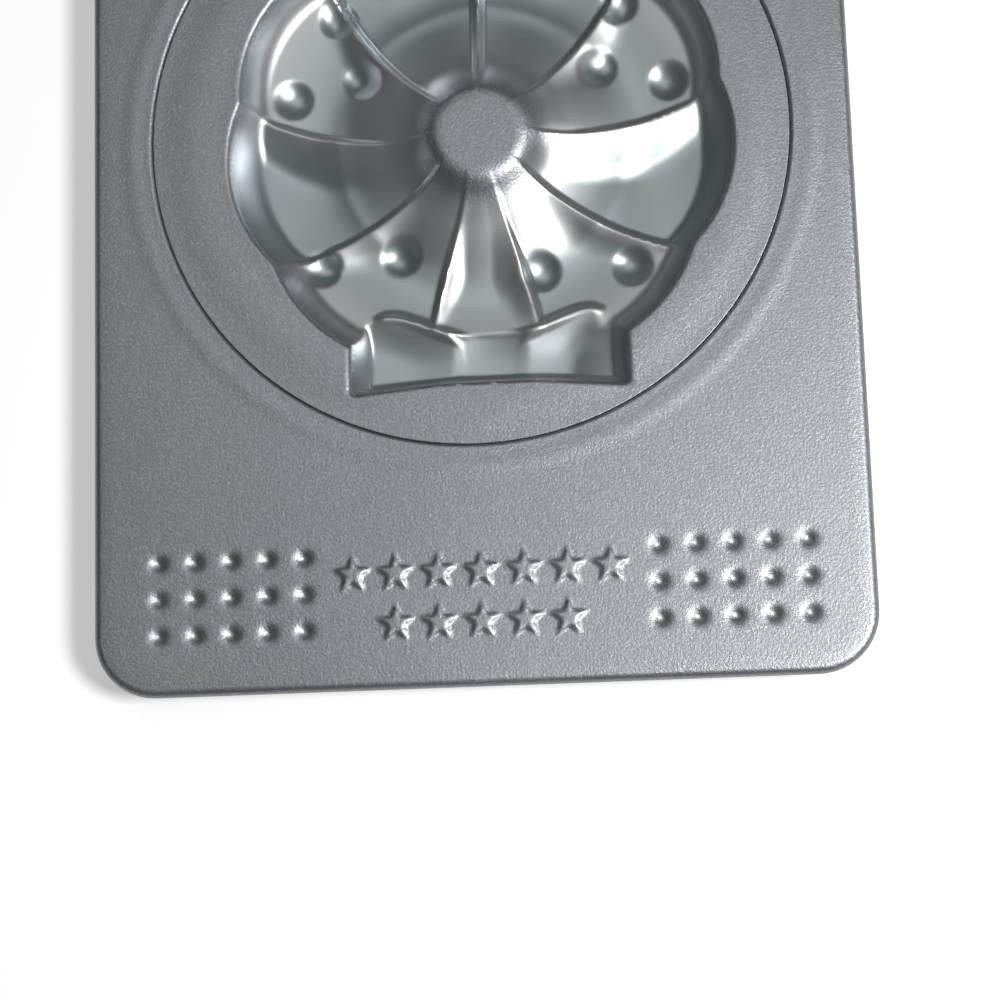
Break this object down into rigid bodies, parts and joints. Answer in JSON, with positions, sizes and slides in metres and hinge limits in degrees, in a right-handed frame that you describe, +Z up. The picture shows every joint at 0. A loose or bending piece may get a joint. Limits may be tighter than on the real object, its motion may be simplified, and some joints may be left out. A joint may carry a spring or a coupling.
{
  "type": "cookie_mold_pan",
  "caption": "Pressed steel cookie mould pan with a wreath-and-bow mould, rolled wire rim, grip dimples and two rows of plain stars",
  "frame": {"origin": "centre of the pan's outer rectangle, on the surface that the mould floor stands on", "axes": "+X along the label from left to right, +Y from the label band towards the far edge, +Z up out of the mould"},
  "size_m": [0.151, 0.186, 0.0126],
  "materials": {
    "pan_coat": "fine metallic grey non-stick coating",
    "mold_coat": "glossier metallic grey non-stick coating",
    "wire_steel": "drawn steel wire"
  },
  "bodies": {
    "root": {"frame_sheet": "pan_coat", "rim_wire": "wire_steel", "mold_insert": "mold_coat"}
  },
  "joints": []
}
